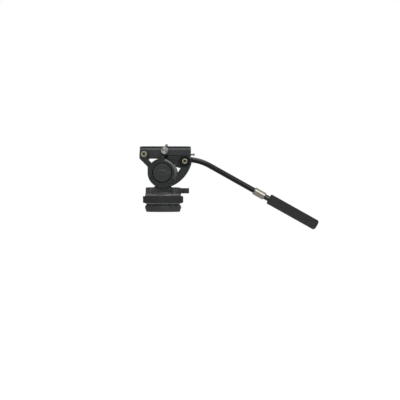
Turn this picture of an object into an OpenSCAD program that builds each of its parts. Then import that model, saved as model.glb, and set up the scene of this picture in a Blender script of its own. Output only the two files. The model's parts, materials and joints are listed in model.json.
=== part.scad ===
// Fluid video head: pan base, tilt drum, hook side plates, sliding camera plate and telescopic handle.
// Millimetres, Z up, X towards the operator, origin at the mouth of the tripod thread.

/* [Base] */
// Widest radius of the base ring
base_r = 41.5; // [39:0.1:45]
// Height of the base ring
base_h = 17; // [15:0.5:22]
// Radius of the base ring at its foot
base_foot_r = 38.2; // [35:0.1:41]
// Radius of the flat top of the base ring
base_top_r = 38.4; // [33:0.1:39]
// Finger notches around the base ring
notch_count = 5; // [3:1:10]
// Radius of one finger notch
notch_r = 16; // [10:0.5:24]
// Depth of one finger notch
notch_depth = 1.5; // [0.5:0.1:2.5]
// Radius of the tripod thread, 3/8 inch
thread_r = 4.76; // [4:0.01:6]
// Depth of the tripod thread
thread_len = 12; // [8:0.5:13]
// Radius of the steel thread insert
insert_r = 9; // [8:0.1:11]
// Screws that hold the spindle to the base
base_screw_count = 4; // [3:1:6]

/* [Pan] */
// Radius of the rubber band on the drag ring
band_r = 46.3; // [44:0.1:47]
// Height of the rubber band
band_h = 16; // [12:0.1:16.2]
// Radius of the bare metal lips of the drag ring
drag_r = 41.3; // [39.5:0.1:42]
// Height of the drag ring
drag_h = 24; // [23:0.1:26]
// Inner radius of the drag ring
drag_bore_r = 31; // [30.5:0.1:33]
// Radius of the turning deck
deck_r = 40.2; // [38.5:0.1:40.5]
// Height of the turning deck
deck_h = 14.6; // [14:0.1:16]
// Radius of the pan spindle
spindle_r = 9.5; // [8:0.1:10]
// Radius of the pan lock knob
pan_knob_r = 6.2; // [5:0.1:6.6]
// Length of the pan lock knob
pan_knob_len = 15.3; // [12:0.1:20]
// Grooves around the pan lock knob
pan_knob_grooves = 10; // [6:1:16]
// Radius of the level vial
vial_r = 5.1; // [4:0.1:5.5]

/* [Tilt drum] */
// Height of the tilt axis above the deck
axis_rise = 32; // [32:0.1:38]
// Radius of the tilt drum and of the side plate rings
drum_r = 33; // [31:0.1:33.5]
// Half length of the tilt drum without its caps
drum_half = 27; // [26:0.5:30]
// Thickness of a drum cap flange
cap_t = 4.2; // [3:0.1:5]
// Radius of the journal that carries the left side plate
journal_r = 28; // [26:0.1:29]
// Radius of the drag dial
dial_r = 20.6; // [18:0.1:23]
// Height of the pinch bar on the drag dial
bar_h = 4.5; // [3:0.1:7]
// Radius of the tilt axle
axle_r = 7; // [6:0.1:8]
// Radius of the tilt lock knob
tilt_knob_r = 17; // [14:0.1:20]
// Lobes of the tilt lock knob
tilt_knob_lobes = 6; // [3:1:8]

/* [Side plates] */
// Thickness of a side plate
plate_t = 6.5; // [5:0.1:8]
// Front boss, distance ahead of the tilt axis
front_x = 41.3; // [38:0.1:43]
// Front boss, height above the tilt axis
front_z = 42.3; // [41:0.1:44]
// Radius of the front boss
front_boss_r = 10; // [9:0.1:10.5]
// Rear boss, distance behind the tilt axis
rear_x = 50.7; // [48:0.1:53]
// Rear boss, height above the tilt axis
rear_z = 26.1; // [24:0.1:28]
// Radius of the rear boss
rear_boss_r = 13.9; // [13.6:0.1:14.5]
// Radius of the sweep under the rear arm
sweep_r = 81.8; // [70:0.1:100]
// Visible radius of a front brass insert
front_insert_r = 6.9; // [6.5:0.1:8]
// Visible radius of a rear brass insert
rear_insert_r = 5.9; // [5.5:0.1:6.6]
// Radius of the accessory thread, 1/4 inch
acc_r = 3.18; // [2.5:0.01:4]
// Teeth of a rosette ring
rosette_teeth = 40; // [24:2:60]

/* [Plate clamp] */
// Front end of the clamp, ahead of the tilt axis
clamp_front = 51.5; // [49:0.1:52]
// Rear end of the clamp, behind the tilt axis
clamp_rear = 63.8; // [60:0.1:68]
// Half width of the clamp
clamp_half = 28; // [27:0.1:30]
// Underside of the rear half of the clamp, above the tilt axis
clamp_bottom = 40.1; // [39.5:0.1:41]
// How much lower the front half of the clamp hangs
clamp_drop = 4.5; // [2:0.1:5]
// Top of the clamp, above the tilt axis
clamp_top = 57.5; // [57:0.1:60]
// Bevel along the top edges of the clamp
clamp_bevel = 5; // [3:0.1:6]
// Half width of the camera plate at its foot
foot_half = 22.5; // [21:0.1:23]
// Height of the dovetail flank
dovetail_h = 4; // [3:0.1:4]
// Thickness of the camera plate above the clamp
plate_top_t = 2.6; // [2:0.1:4]
// Radius of the camera screw, 1/4 inch
cam_r = 3.17; // [2.5:0.01:4.8]
// Camera screw standing above the camera plate
cam_out = 6; // [4:0.1:8]
// Radius of the plate lock knob
lock_knob_r = 8.5; // [6:0.1:9]
// Length of the plate lock knob
lock_knob_len = 10; // [6:0.1:14]
// Largest radius of the safety button
button_r = 3.2; // [2.8:0.1:3.8]

/* [Handle] */
// Slope of the handle at the grip, in degrees below level
grip_angle = 29.3; // [15:0.1:45]
// Slope of the handle where it leaves its eye, in degrees below level
lead_angle = 5; // [0:0.1:10]
// Radius of the bend of the handle
bend_r = 112; // [80:1:140]
// Outer radius of the handle tube
tube_r = 6.5; // [6:0.1:6.5]
// Outer radius of the sliding inner tube
inner_r = 5.5; // [4.5:0.1:5.6]
// Length from the bend to the twist collar
straight_len = 120.5; // [90:0.5:160]
// Radius of the twist collar
collar_r = 9.4; // [8:0.1:11]
// Length of the twist collar
collar_len = 27.7; // [24:0.1:34]
// Length of the dark ferrule in front of the grip
ferrule_len = 12; // [8:0.1:20]
// Radius of the grip
grip_r = 12.4; // [11:0.1:15]
// Length of the grip with its end cap
grip_len = 129.3; // [100:0.1:150]

/* [Fits] */
// Radial clearance of a running fit
run = 0.06; // [0.02:0.01:0.1]
// Radial clearance of a seated piece
seat = 0.02; // [0.01:0.01:0.05]
// Gap between flat faces that turn on each other
slip = 0.1; // [0.05:0.01:0.3]
// Free gap between pieces that do not touch
gap = 0.3; // [0.2:0.05:0.5]

/* [Hidden] */
$fn = 96;
// Overshoot of a cut
cut = 1;
// Far end of a cut that leaves the part
far = 90;
full_turn = 360;
side_turn = 90;

// Heights of the base and pan stages
flange_t = 4;
base_belly_z = base_h * 0.53;
base_shoulder_z = base_h * 0.75;
base_recess_d = 1.5;
base_recess_in = insert_r + 5;
base_recess_out = base_foot_r - 6;
insert_len = thread_len + 1;
drag_z0 = base_h + slip;
drag_z1 = drag_z0 + drag_h;
lip_h = 2.9;
lip_step = 1.1;
band_z0 = drag_z0 + lip_h;
band_z1 = band_z0 + band_h;
band_soft = 3;
band_crisp = 1.2;
deck_z0 = drag_z1 + gap;
deck_z1 = deck_z0 + deck_h;
tilt_z = deck_z1 + axis_rise;

// Pan drag cartridge and spindle
flange_r = drag_bore_r - 2;
flange_z1 = base_h + flange_t;
screw_pcd_r = flange_r - 7;
screw_r = 2.5;
screw_head_r = 4.5;
screw_head_h = 2.5;
skirt_r = drag_bore_r - 2 * gap;
skirt_t = 2.8;
fin_t = 1.4;
fin_gap = 0.4;
fin_pitch = 2 * (fin_t + fin_gap);
stator_fins = 3;
sleeve_t = 2.9;
stator_top = flange_z1 + (stator_fins - 1) * fin_pitch + fin_t;
stator_r = skirt_r - skirt_t - 1.1;
hub_z0 = stator_top + 2 * gap;
hub_r = spindle_r + 10.5;
bush_r = spindle_r + 3.5;
shoulder_z = deck_z1 - 2;
bush_z1 = deck_z0 + 3;
stud_r = spindle_r - 2.5;
washer_r = spindle_r + 3.5;
washer_t = 1.5;
nut_r = spindle_r + 2.5;
nut_h = 5.5;
stud_top = shoulder_z + washer_t + nut_h + 0.5;
passage_r = washer_r + 2 * gap;

// Deck details
pocket_y = drum_half + cap_t - 5 * gap;
pocket_z = deck_z0 + 2.4;
scoop_r = 60;
scoop_half = 21;
scoop_x = 4;
scoop_off = sqrt(pow(scoop_r, 2) - pow(scoop_half, 2));
scoop_z = pocket_z + cut;
deck_flare = 0.7;
deck_round = 1.5;
flank_lip_in = drag_r + 0.4;
flank_lip_out = flank_lip_in + 1.5;
flank_lip_drop = 2.5;
flank_lip_half = 18;
flank_lip_r = (pow(flank_lip_half, 2) + pow(flank_lip_drop, 2)) / (2 * flank_lip_drop);
pedestal_half = 17;
pedestal_y = 24;
pedestal_flare = 5;
brake_z = deck_z0 + 6.9;
brake_r = 2.95;
lock_boss_r = 6.6;
lock_boss_x = deck_r + 3.3;
pan_knob_x = lock_boss_x + 3 * gap;
lock_spigot_r = pan_knob_r - cut;
shoe_x0 = spindle_r + 0.4;
shoe_x1 = shoe_x0 + 9;
level_x = 26;
level_y = 15;
cup_r = vial_r + 1.4;
cup_h = 4;

// Tilt drum and drag cartridge
bore_r = drum_r - 7;
cap_face = drum_half + cap_t;
cap_rim = 1.2;
spigot_h = 5;
spigot_y = drum_half - spigot_h;
plate_in = cap_face + gap;
plate_out = plate_in + plate_t;
bezel_h = 1.6;
bezel_face = plate_out + bezel_h;
bezel_soft = 1;
dial_groove = 1.8;
bezel_in = dial_r + dial_groove;
dial_floor = bezel_face - 3.6;
dial_face = bezel_face + 2.9;
dial_soft = 1.4;
stem_r = 4;
tilt_bush_r = axle_r + 4;
axle_left = dial_floor - 3;
axle_stud_r = axle_r - 2;
axle_stud_len = 14;
axle_stud_end = plate_out + axle_stud_len;
tilt_fin_t = 1.5;
tilt_fin_gap = 0.5;
tilt_fin_pitch = 2 * (tilt_fin_t + tilt_fin_gap);
tilt_fins = 4;
disc_y0 = spigot_y - tilt_fins * tilt_fin_pitch - tilt_fin_t - 1.5;
tilt_rim_in = bore_r - 1.4;
rotor_r = tilt_rim_in - 0.5;
rotor_sleeve_r = axle_r + 3.2;
cap_screw_r = 2;
cap_screw_count = 3;
cap_screw_start = 88;
cap_screw_pcd_r = (drum_r + journal_r) / 2;
spring_wire = 1.5;
spring_r = axle_r + 7;
spring_turns = 5;
tilt_knob_y = plate_out + slip;
tilt_knob_hub = 3;
tilt_knob_h = 12;
lobe_r = tilt_knob_r * 0.42;
lobe_bite = tilt_knob_r * 0.17;

// Outline of a side plate, about the tilt axis
rear_d = norm([rear_x, rear_z]);
sweep_a = sweep_r - drum_r;
sweep_b = sweep_r - rear_boss_r;
sweep_u = (pow(rear_d, 2) + pow(sweep_a, 2) - pow(sweep_b, 2)) / (2 * rear_d);
sweep_v = sqrt(pow(sweep_a, 2) - pow(sweep_u, 2));
sweep_c = [(sweep_u * rear_x - sweep_v * rear_z) / rear_d,
    (sweep_u * rear_z + sweep_v * rear_x) / rear_d];
arm_heel = drum_r * 0.42;
arm_foot = [-drum_r * 0.72, drum_r * 0.69];
far_arm_foot = [-drum_r * 0.91, drum_r * 0.41];
arm_head_x = -front_x + front_boss_r - 5.3;
far_arm_slim = 3.5;
arm_drop = front_boss_r;
post_half = 4;
open_to = -28;
post_top = clamp_bottom;
boss_pad_r = front_boss_r - 1;
boss_rise = 0.5;
front_shank_r = front_insert_r - 1.9;
rear_shank_r = rear_insert_r - 1.4;
front_shank_in = foot_half + 0.9;
rear_shank_in = plate_in - 9;
front_thread_len = 12;
rear_thread_len = 14;
rosette_in = rear_insert_r + 0.6;
rosette_out = rear_boss_r - 0.7;
rosette_h = 1.3;
tooth_w = 1;
tooth_d = 0.8;

// Clamp and camera plate
floor_z = clamp_bottom + 7.5;
foot_z0 = floor_z + slip;
foot_h = 2;
neck_half = foot_half - dovetail_h;
neck_z = foot_z0 + foot_h + dovetail_h;
flange_z0 = clamp_top + gap;
flange_z = flange_z0 + plate_top_t;
flange_half = clamp_half - 4;
pad_t = 0.7;
pad_in = 8;
pad_inset = 5;
plate_mid = (clamp_rear - clamp_front) / 2;
cam_x = plate_mid + 1.6;
cam_head_r = cam_r + 3.8;
cam_head_h = 4.3;
cam_head_z = foot_z0 + 0.6;
slot_half_len = 32;
slot_w = cam_r + gap;
head_slot_w = cam_head_r + 1;
head_slot_top = cam_head_z + cam_head_h + gap;
relief_half = foot_half + 0.5;
relief_x = -12;
relief_z = clamp_bottom + 1.9;
jaw_half = 30;
jaw_x = plate_mid - 0.2;
jaw_travel = 1;
jaw_back = clamp_half - 3.6;
jaw_top = neck_z + 0.5;
jaw_fit = 0.15;
lock_x = plate_mid - 1.2;
lock_z = floor_z + 2.6;
lock_screw_r = 2;
lock_knob_y = clamp_half + 2;
lock_hub_r = lock_knob_r - 2.5;
lock_bevel = 1;
pin_r = 1.1;
pin_z = clamp_top - clamp_bevel / 2;
pin_depth = 4;
pin_half_span = 37;
plunger_y = 14;
plunger_z = clamp_bottom + 4.3;
plunger_r = 1.3;
plunger_x0 = 22;
plunger_travel = 3;
catch_len = 3;
catch_w = 3.4;
catch_top = foot_z0 + 1.7;
catch_slot = 3.6;
groove_top = catch_top + 0.7;
groove_reach = 26;
groove_w = 5;
spring_bore_r = plunger_r + 1;
safety_set = 6.6;
safety_spring_len = 10.6;
spring_x1 = clamp_rear - safety_set;
spring_x0 = spring_x1 - safety_spring_len;
stop_t = 1.2;
safety_wire = 0.35;
safety_turns = 7;
button_len = 8.3;
button_neck_r = plunger_r + gap;
button_waist_r = button_neck_r + 0.4;
button_x0 = clamp_rear + gap;
button_waist_x = button_x0 + plunger_travel;
button_x1 = button_x0 + button_len;
button_seat_r = button_waist_r + gap;
button_seat_d = plunger_travel + 2 * gap;

// Rear bracket
bracket_front = 11.5;
bracket_rear = rear_x + rear_boss_r - 2.6;
bracket_clear = drum_r + 1.2 * gap;
bracket_core_half = clamp_half - 8;
bracket_low = rear_z + 0.4;
bracket_heel = [rear_x - 6.7, rear_z - rear_boss_r + 0.3];
ledge_h = 1.4;
ledge_y = clamp_half - 2;
bracket_screw_x = [18, 55];
bracket_screw_y = 6;
bracket_screw_r = 2.2;
bracket_screw_head_r = 4;
bracket_screw_len = 12;

// Handle
eye_in = plate_out + rosette_h + slip;
handle_y = eye_in + tube_r;
eye_out = handle_y + tube_r;
eye_r = rear_boss_r - 0.4;
eye_screw_r = acc_r - 0.08;
lead_off = [12.3, 8.3];
lead_at = [rear_x, rear_z] + lead_off;
bend_c = lead_at - bend_r * [sin(lead_angle), cos(lead_angle)];
bend_end = bend_c + bend_r * [sin(grip_angle), cos(grip_angle)];
shoulder_len = 12;
neck_turn = 2;
spigot_turn = 7;
lap_turn = 0.8;
tube_bore_r = inner_r + 0.08;
bend_thin = 0.05;
collar_u0 = straight_len;
collar_u1 = collar_u0 + collar_len;
tube_end = collar_u1 - 9.2;
collet_end = collar_u1 - 1.3;
collar_bevel = 0.8;
ferrule_r = tube_r + 0.1;
ferrule_u0 = collar_u1 + gap;
grip_u0 = ferrule_u0 + ferrule_len;
grip_u1 = grip_u0 + grip_len;
cap_u0 = grip_u1 - 6;
grip_soft = 2.5;
cap_soft = 4.5;
inner_u0 = collar_u0 - 85;
inner_wall = 1;
hand_knob_r = 10;
hand_knob_h = 13;
hand_knob_hub = 2;
hand_knob_lobes = 6;

// Points of an arc about c, used for rounded edges of turned pieces
function arc(c, r, a0, a1, n = 6) = [for (i = [0:n])
    c + r * [cos(a0 + (a1 - a0) * i / n), sin(a0 + (a1 - a0) * i / n)]];

// Round rod along Z, Y or X between two stations
module rod_z(r, z0, z1) {
    translate([0, 0, z0]) cylinder(r = r, h = z1 - z0);
}
module rod_y(r, y0, y1) {
    translate([0, y1, 0]) rotate([side_turn, 0, 0]) cylinder(r = r, h = y1 - y0);
}
module rod_x(r, x0, x1) {
    translate([x0, 0, 0]) rotate([0, side_turn, 0]) cylinder(r = r, h = x1 - x0);
}

// Flat outline in X and Z made thick along Y, and outline in Y and Z made long along X
module slab_y(y0, y1) {
    translate([0, y1, 0]) rotate([side_turn, 0, 0]) linear_extrude(height = y1 - y0) children();
}
module slab_x(x0, x1) {
    translate([x0, 0, 0]) rotate([side_turn, 0, side_turn]) linear_extrude(height = x1 - x0) children();
}

// Box between two corners
module block(a, b) {
    translate(a) cube(b - a);
}

// Turned piece standing out to the left, to the right or to the rear
module turn_left() {
    rotate([side_turn, 0, 0]) rotate_extrude() children();
}
module turn_right() {
    mirror([0, 1, 0]) turn_left() children();
}
module turn_rear() {
    rotate([0, side_turn, 0]) rotate_extrude() children();
}

// Places
module on_tilt() {
    translate([0, 0, tilt_z]) children();
}
module at_front() {
    translate([-front_x, 0, front_z]) children();
}
module at_rear() {
    translate([rear_x, 0, rear_z]) children();
}
module both_sides() {
    children();
    mirror([0, 1, 0]) children();
}
module around(count, r, start = 0) {
    for (i = [0:count - 1]) rotate([0, 0, start + i * full_turn / count]) translate([r, 0, 0]) children();
}
module around_y(count, r, start = 0) {
    rotate([side_turn, 0, 0]) around(count, r, start) rotate([-side_turn, 0, 0]) children();
}

// Round wire coil along Z, one closed tube
module coil(r, wire, length, turns, steps = 14, sides = 6) {
    n = turns * steps;
    points = [for (i = [0:n], j = [0:sides - 1])
        let (a = i * full_turn / steps, b = j * full_turn / sides, d = r + wire * cos(b))
        [d * cos(a), d * sin(a), length * i / n + wire * sin(b)]];
    walls = [for (i = [0:n - 1], j = [0:sides - 1])
        [i * sides + j, i * sides + (j + 1) % sides, (i + 1) * sides + (j + 1) % sides,
        (i + 1) * sides + j]];
    first = [for (j = [0:sides - 1]) sides - 1 - j];
    last = [for (j = [0:sides - 1]) n * sides + j];
    polyhedron(points = points, faces = concat([first], [for (w = walls) [w[3], w[2], w[1], w[0]]],
        [last]));
}

// Base: ring with finger notches, blind seat for the thread insert and screw seats in the underside
module base_ring() {
    color("#3b3c3c") difference() {
        rotate_extrude() polygon([[0, 0], [base_foot_r, 0], [base_r, base_belly_z],
            [base_r, base_shoulder_z], [base_top_r, base_h], [0, base_h]]);
        rotate_extrude() polygon([[base_recess_in, -cut], [base_recess_out, -cut],
            [base_recess_out, base_recess_d], [base_recess_in, base_recess_d]]);
        rod_z(insert_r + seat, -cut, insert_len);
        around(notch_count, base_r + notch_r - notch_depth, full_turn / notch_count / 2 - side_turn)
            rod_z(notch_r, -cut, base_h + cut);
        around(base_screw_count, screw_pcd_r, side_turn / 2) {
            rod_z(screw_r + seat, -cut, base_h + cut);
            rod_z(screw_head_r + slip, -cut, base_recess_d + screw_head_h + slip);
        }
    }
}

module thread_insert() {
    color("#8c8f91") difference() {
        rod_z(insert_r, 0, insert_len);
        rod_z(thread_r, -cut, thread_len);
    }
}

module base_screws() {
    color("#8c8f91") around(base_screw_count, screw_pcd_r, side_turn / 2) {
        rod_z(screw_head_r, base_recess_d + slip, base_recess_d + slip + screw_head_h);
        rod_z(screw_r, base_recess_d + screw_head_h, flange_z1 - cut);
    }
}

module pan_spindle() {
    color("#9a9c9d") difference() {
        rotate_extrude() polygon([[0, base_h], [flange_r, base_h], [flange_r, flange_z1],
            [spindle_r, flange_z1], [spindle_r, shoulder_z], [stud_r, shoulder_z], [stud_r, stud_top],
            [0, stud_top]]);
        around(base_screw_count, screw_pcd_r, side_turn / 2)
            rod_z(screw_r + seat, 0, flange_z1 - cut + seat);
    }
}

module pan_stator() {
    color("#8f8a80") difference() {
        union() {
            rod_z(spindle_r + sleeve_t, flange_z1, stator_top);
            for (i = [0:stator_fins - 1]) {
                rod_z(stator_r, flange_z1 + i * fin_pitch, flange_z1 + i * fin_pitch + fin_t);
            }
        }
        rod_z(spindle_r + seat, 0, far);
    }
}

module spindle_washer() {
    color("#a8aaab") difference() {
        rod_z(washer_r, shoulder_z, shoulder_z + washer_t);
        rod_z(stud_r + seat, 0, far);
    }
}

module spindle_nut() {
    color("#8c8f91") difference() {
        translate([0, 0, shoulder_z + washer_t]) cylinder(r = nut_r, h = nut_h, $fn = 6);
        rod_z(stud_r + seat, 0, far);
    }
}

// Pan drag ring: metal ring with bare lips and a rubber band between them
module drag_ring() {
    color("#77797a") rotate_extrude() polygon([[drag_bore_r, drag_z0],
        [drag_r - lip_h - lip_step, drag_z0], [drag_r, band_z0 - slip], [drag_r, band_z0],
        [drag_r - lip_step, band_z0], [drag_r - lip_step, band_z1], [drag_r, band_z1],
        [drag_r, drag_z1 - lip_step / 2], [drag_r - lip_step / 2, drag_z1], [drag_bore_r, drag_z1]]);
}

module drag_band() {
    color("#313130") rotate_extrude() polygon(concat([[drag_r - lip_step, band_z0]],
        arc([band_r - band_soft, band_z0 + band_soft], band_soft, -side_turn, 0),
        arc([band_r - band_crisp, band_z1 - band_crisp], band_crisp, 0, side_turn, 3),
        [[drag_r - lip_step, band_z1]]));
}

// Pan housing: deck, pedestal and tilt drum in one casting
module flank_lip() {
    intersection() {
        slab_y(-far, -pedestal_y) translate([0, deck_z0 - flank_lip_drop + flank_lip_r])
            circle(r = flank_lip_r);
        difference() {
            rod_z(flank_lip_out, deck_z0 - flank_lip_drop, pocket_z);
            rod_z(flank_lip_in, 0, deck_z0);
            rod_z(deck_r - cut, 0, far);
        }
    }
}
module housing_body() {
    difference() {
        rotate_extrude() polygon([[0, deck_z0], [deck_r + deck_flare, deck_z0], [deck_r, pocket_z],
            [deck_r, deck_z1 - deck_round], [deck_r - deck_round, deck_z1], [0, deck_z1]]);
        both_sides() translate([scoop_x, -pocket_y - scoop_off, 0]) rod_z(scoop_r, scoop_z, far);
    }
    difference() {
        rod_z(skirt_r, flange_z1 + cut, deck_z0 + cut);
        rod_z(skirt_r - skirt_t, 0, deck_z0);
    }
    rod_z(hub_r, hub_z0, deck_z0 + cut);
    translate([0, 0, brake_z]) {
        rod_x(lock_boss_r, spindle_r + 2 * cut, lock_boss_x);
        rod_x(lock_spigot_r, lock_boss_x - cut, pan_knob_x - slip);
    }
    slab_y(-pedestal_y, pedestal_y) polygon([[-pedestal_half - pedestal_flare, deck_z1 - cut],
        [pedestal_half + pedestal_flare, deck_z1 - cut], [pedestal_half + cut, deck_z1 + 2 * cut],
        [pedestal_half, deck_z1 + pedestal_flare], [pedestal_half, tilt_z - bore_r + pedestal_flare],
        [-pedestal_half, tilt_z - bore_r + pedestal_flare], [-pedestal_half, deck_z1 + pedestal_flare],
        [-pedestal_half - cut, deck_z1 + 2 * cut]]);
    on_tilt() rod_y(drum_r, -drum_half, drum_half);
    both_sides() flank_lip();
}
module pan_housing() {
    color("#37393a") difference() {
        housing_body();
        on_tilt() rod_y(bore_r, -far, far);
        rod_z(spindle_r + gap, 0, far / 2 + tilt_z / 2);
        rod_z(bush_r + seat, 0, bush_z1);
        rod_z(passage_r, shoulder_z - slip, tilt_z);
        translate([0, 0, brake_z]) rod_x(brake_r + run, 0, far);
        translate([level_x, level_y, 0]) rod_z(cup_r + seat, deck_z1 - cup_h, far);
        both_sides() {
            block([-far, pocket_y, pocket_z], [far, far, deck_z1 + cut]);
            on_tilt() rod_y(drum_r + gap, drum_half, far);
            on_tilt() around_y(cap_screw_count, cap_screw_pcd_r, cap_screw_start)
                rod_y(cap_screw_r + seat, drum_half - 3 * cap_t, far);
        }
    }
}

module pan_bush() {
    color("#a98a55") difference() {
        rod_z(bush_r, hub_z0, bush_z1);
        rod_z(spindle_r + run, 0, far);
    }
}

module pan_rotor() {
    color("#b08d57") difference() {
        rod_z(skirt_r - skirt_t - seat, flange_z1 + fin_t + fin_gap, stator_top - fin_t - fin_gap);
        rod_z(bush_r, 0, far);
        for (i = [1:stator_fins - 2]) {
            rod_z(stator_r + fin_gap, flange_z1 + i * fin_pitch - fin_gap,
                flange_z1 + i * fin_pitch + fin_t + fin_gap);
        }
    }
}

module level_cup() {
    color("#2f3031") translate([level_x, level_y, 0]) difference() {
        rod_z(cup_r, deck_z1 - cup_h, deck_z1 + gap);
        rod_z(vial_r + seat, deck_z1 - cup_h + cut, far);
    }
}

module level_vial() {
    color("#c9d94f") translate([level_x, level_y, 0]) rod_z(vial_r, deck_z1 - cup_h + cut, deck_z1);
}

// Caps of the tilt drum
module cap_screw_seats() {
    around_y(cap_screw_count, cap_screw_pcd_r, cap_screw_start) rod_y(cap_screw_r + seat, -far, far);
}
module cap_left() {
    color("#6f7173") on_tilt() difference() {
        turn_left() polygon([[tilt_bush_r + seat, spigot_y], [bore_r - seat, spigot_y],
            [bore_r - seat, drum_half], [drum_r, drum_half], [drum_r, drum_half + cap_rim],
            [journal_r + gap, cap_face], [bezel_in - seat, cap_face],
            [bezel_in - seat, dial_floor], [stem_r + run, dial_floor],
            [stem_r + run, axle_left + gap], [tilt_bush_r + seat, axle_left + gap]]);
        cap_screw_seats();
    }
}

// Bezel around the dial, also the journal of the left side plate
module dial_bezel() {
    color("#2e2f30") on_tilt() turn_left() polygon([[bezel_in, cap_face], [journal_r, cap_face],
        [journal_r, bezel_face - bezel_soft], [journal_r - bezel_soft, bezel_face],
        [bezel_in, bezel_face]]);
}

module cap_right() {
    color("#6f7173") on_tilt() difference() {
        turn_right() polygon([[tilt_bush_r + seat, spigot_y], [bore_r - seat, spigot_y],
            [bore_r - seat, drum_half], [drum_r, drum_half], [drum_r, cap_face],
            [tilt_bush_r + seat, cap_face]]);
        mirror([0, 1, 0]) cap_screw_seats();
    }
}

module cap_screws() {
    color("#8c8f91") on_tilt() both_sides() around_y(cap_screw_count, cap_screw_pcd_r, cap_screw_start)
        rod_y(cap_screw_r, -drum_half - cap_rim, -drum_half + 2 * cap_t);
}

module tilt_bushes() {
    color("#a98a55") on_tilt() difference() {
        union() {
            rod_y(tilt_bush_r, -axle_left, -spigot_y);
            rod_y(tilt_bush_r, spigot_y, cap_face);
        }
        rod_y(axle_r + run, -far, far);
    }
}

module tilt_stator() {
    color("#8f8a80") on_tilt() difference() {
        rod_y(bore_r - seat, disc_y0, spigot_y);
        rod_y(rotor_sleeve_r + 2 * gap, -far, far);
        for (i = [0:tilt_fins - 1]) {
            rod_y(tilt_rim_in, disc_y0 + tilt_fin_t + i * tilt_fin_pitch,
                disc_y0 + (i + 1) * tilt_fin_pitch);
        }
    }
}

// Pan lock: grooved knob, screw and brass shoe on the spindle
module pan_lock_knob() {
    color("#2b2c2d") translate([pan_knob_x, 0, brake_z]) difference() {
        turn_rear() polygon(concat([[brake_r + seat, 0], [pan_knob_r - cut / 2, 0],
            [pan_knob_r, cut]], arc([pan_knob_r - cut, pan_knob_len - cut], cut, 0, side_turn, 4),
            [[0, pan_knob_len], [0, pan_knob_len / 2], [brake_r + seat, pan_knob_len / 2]]));
        rotate([0, side_turn, 0]) around(pan_knob_grooves, pan_knob_r + cut / 2)
            rod_z(cut, 4 * cut, pan_knob_len - 2 * cut);
    }
}

module pan_lock_screw() {
    color("#8c8f91") translate([0, 0, brake_z])
        rod_x(brake_r, shoe_x1 + gap, pan_knob_x + pan_knob_len / 2);
}

module pan_brake_shoe() {
    color("#b08d57") translate([0, 0, brake_z]) rod_x(brake_r, shoe_x0, shoe_x1);
}

// Tilt drag dial: shallow dial with a leaf shaped pinch bar
module pinch_bar() {
    leaf_r = dial_r * 1.3;
    leaf_off = dial_r * 0.95;
    intersection_for (s = [-1, 1]) {
        translate([0, -dial_face + cut, s * leaf_off]) rotate([side_turn, 0, 0])
            cylinder(r1 = leaf_r, r2 = leaf_r - bar_h / 2, h = bar_h + cut);
    }
}
module drag_dial() {
    color("#2e2f30") on_tilt() union() {
        turn_left() polygon(concat([[stem_r + seat, dial_floor + gap], [dial_r, dial_floor + gap]],
            arc([dial_r - dial_soft, dial_face - dial_soft], dial_soft, 0, side_turn, 5),
            [[0, dial_face], [0, dial_face - cut], [stem_r + seat, dial_face - cut]]));
        pinch_bar();
    }
}

module dial_stem() {
    color("#8c8f91") on_tilt() rod_y(stem_r, -dial_face + cut, -axle_left - slip);
}

// Side plates: ring, front arm and boss, post and rear arm with its boss
module plate_outline(ring_fill) {
    difference() {
        union() {
            circle(r = drum_r);
            translate([-front_x, front_z]) circle(r = front_boss_r);
            polygon([[-front_x - front_boss_r, front_z], [-front_x - front_boss_r, front_z - arm_drop],
                [-drum_r, arm_heel], [-drum_r, 0], [0, 0], ring_fill ? far_arm_foot : arm_foot,
                [ring_fill ? arm_head_x - far_arm_slim : arm_head_x, clamp_bottom - clamp_drop],
                [-front_x + front_boss_r, front_z]]);
            translate([-post_half, drum_r - post_half])
                square([2 * post_half, post_top - drum_r + post_half]);
            translate([rear_x, rear_z]) circle(r = rear_boss_r);
            intersection() {
                translate(sweep_c) circle(r = sweep_r);
                polygon([[0, 0], [0, -far], [far, -far], [far, rear_z], [rear_x, rear_z],
                    [rear_x - rear_boss_r * 0.52, rear_z - rear_boss_r * 0.86],
                    [drum_r, -drum_r * 0.05]]);
            }
        }
        if (!ring_fill) {
            circle(r = journal_r + run);
            intersection() {
                circle(r = drum_r + slip);
                polygon([[0, 0], [far, far * tan(open_to)], [far, far], [post_half, far],
                    [post_half, 0]]);
            }
        }
    }
}
module plate_solid(ring_fill) {
    difference() {
        union() {
            slab_y(-plate_out, -plate_in) plate_outline(ring_fill);
            at_front() rod_y(boss_pad_r, -plate_out - boss_rise, -clamp_half);
            slab_y(-plate_in - cut, -clamp_half) translate([-post_half, drum_r + 3 * cut])
                square([2 * post_half, post_top - drum_r - 3 * cut]);
        }
        at_front() {
            rod_y(front_shank_r + seat, -far, 0);
            rod_y(front_insert_r + seat, -far, -plate_out - boss_rise + cut);
        }
        at_rear() rod_y(rear_shank_r + seat, -far, 0);
    }
}
module side_plate_left() {
    color("#3a3c3d") on_tilt() plate_solid(false);
}

module side_plate_right() {
    color("#3a3c3d") on_tilt() difference() {
        mirror([0, 1, 0]) plate_solid(true);
        rod_y(axle_r + seat, 0, far);
    }
}

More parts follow.
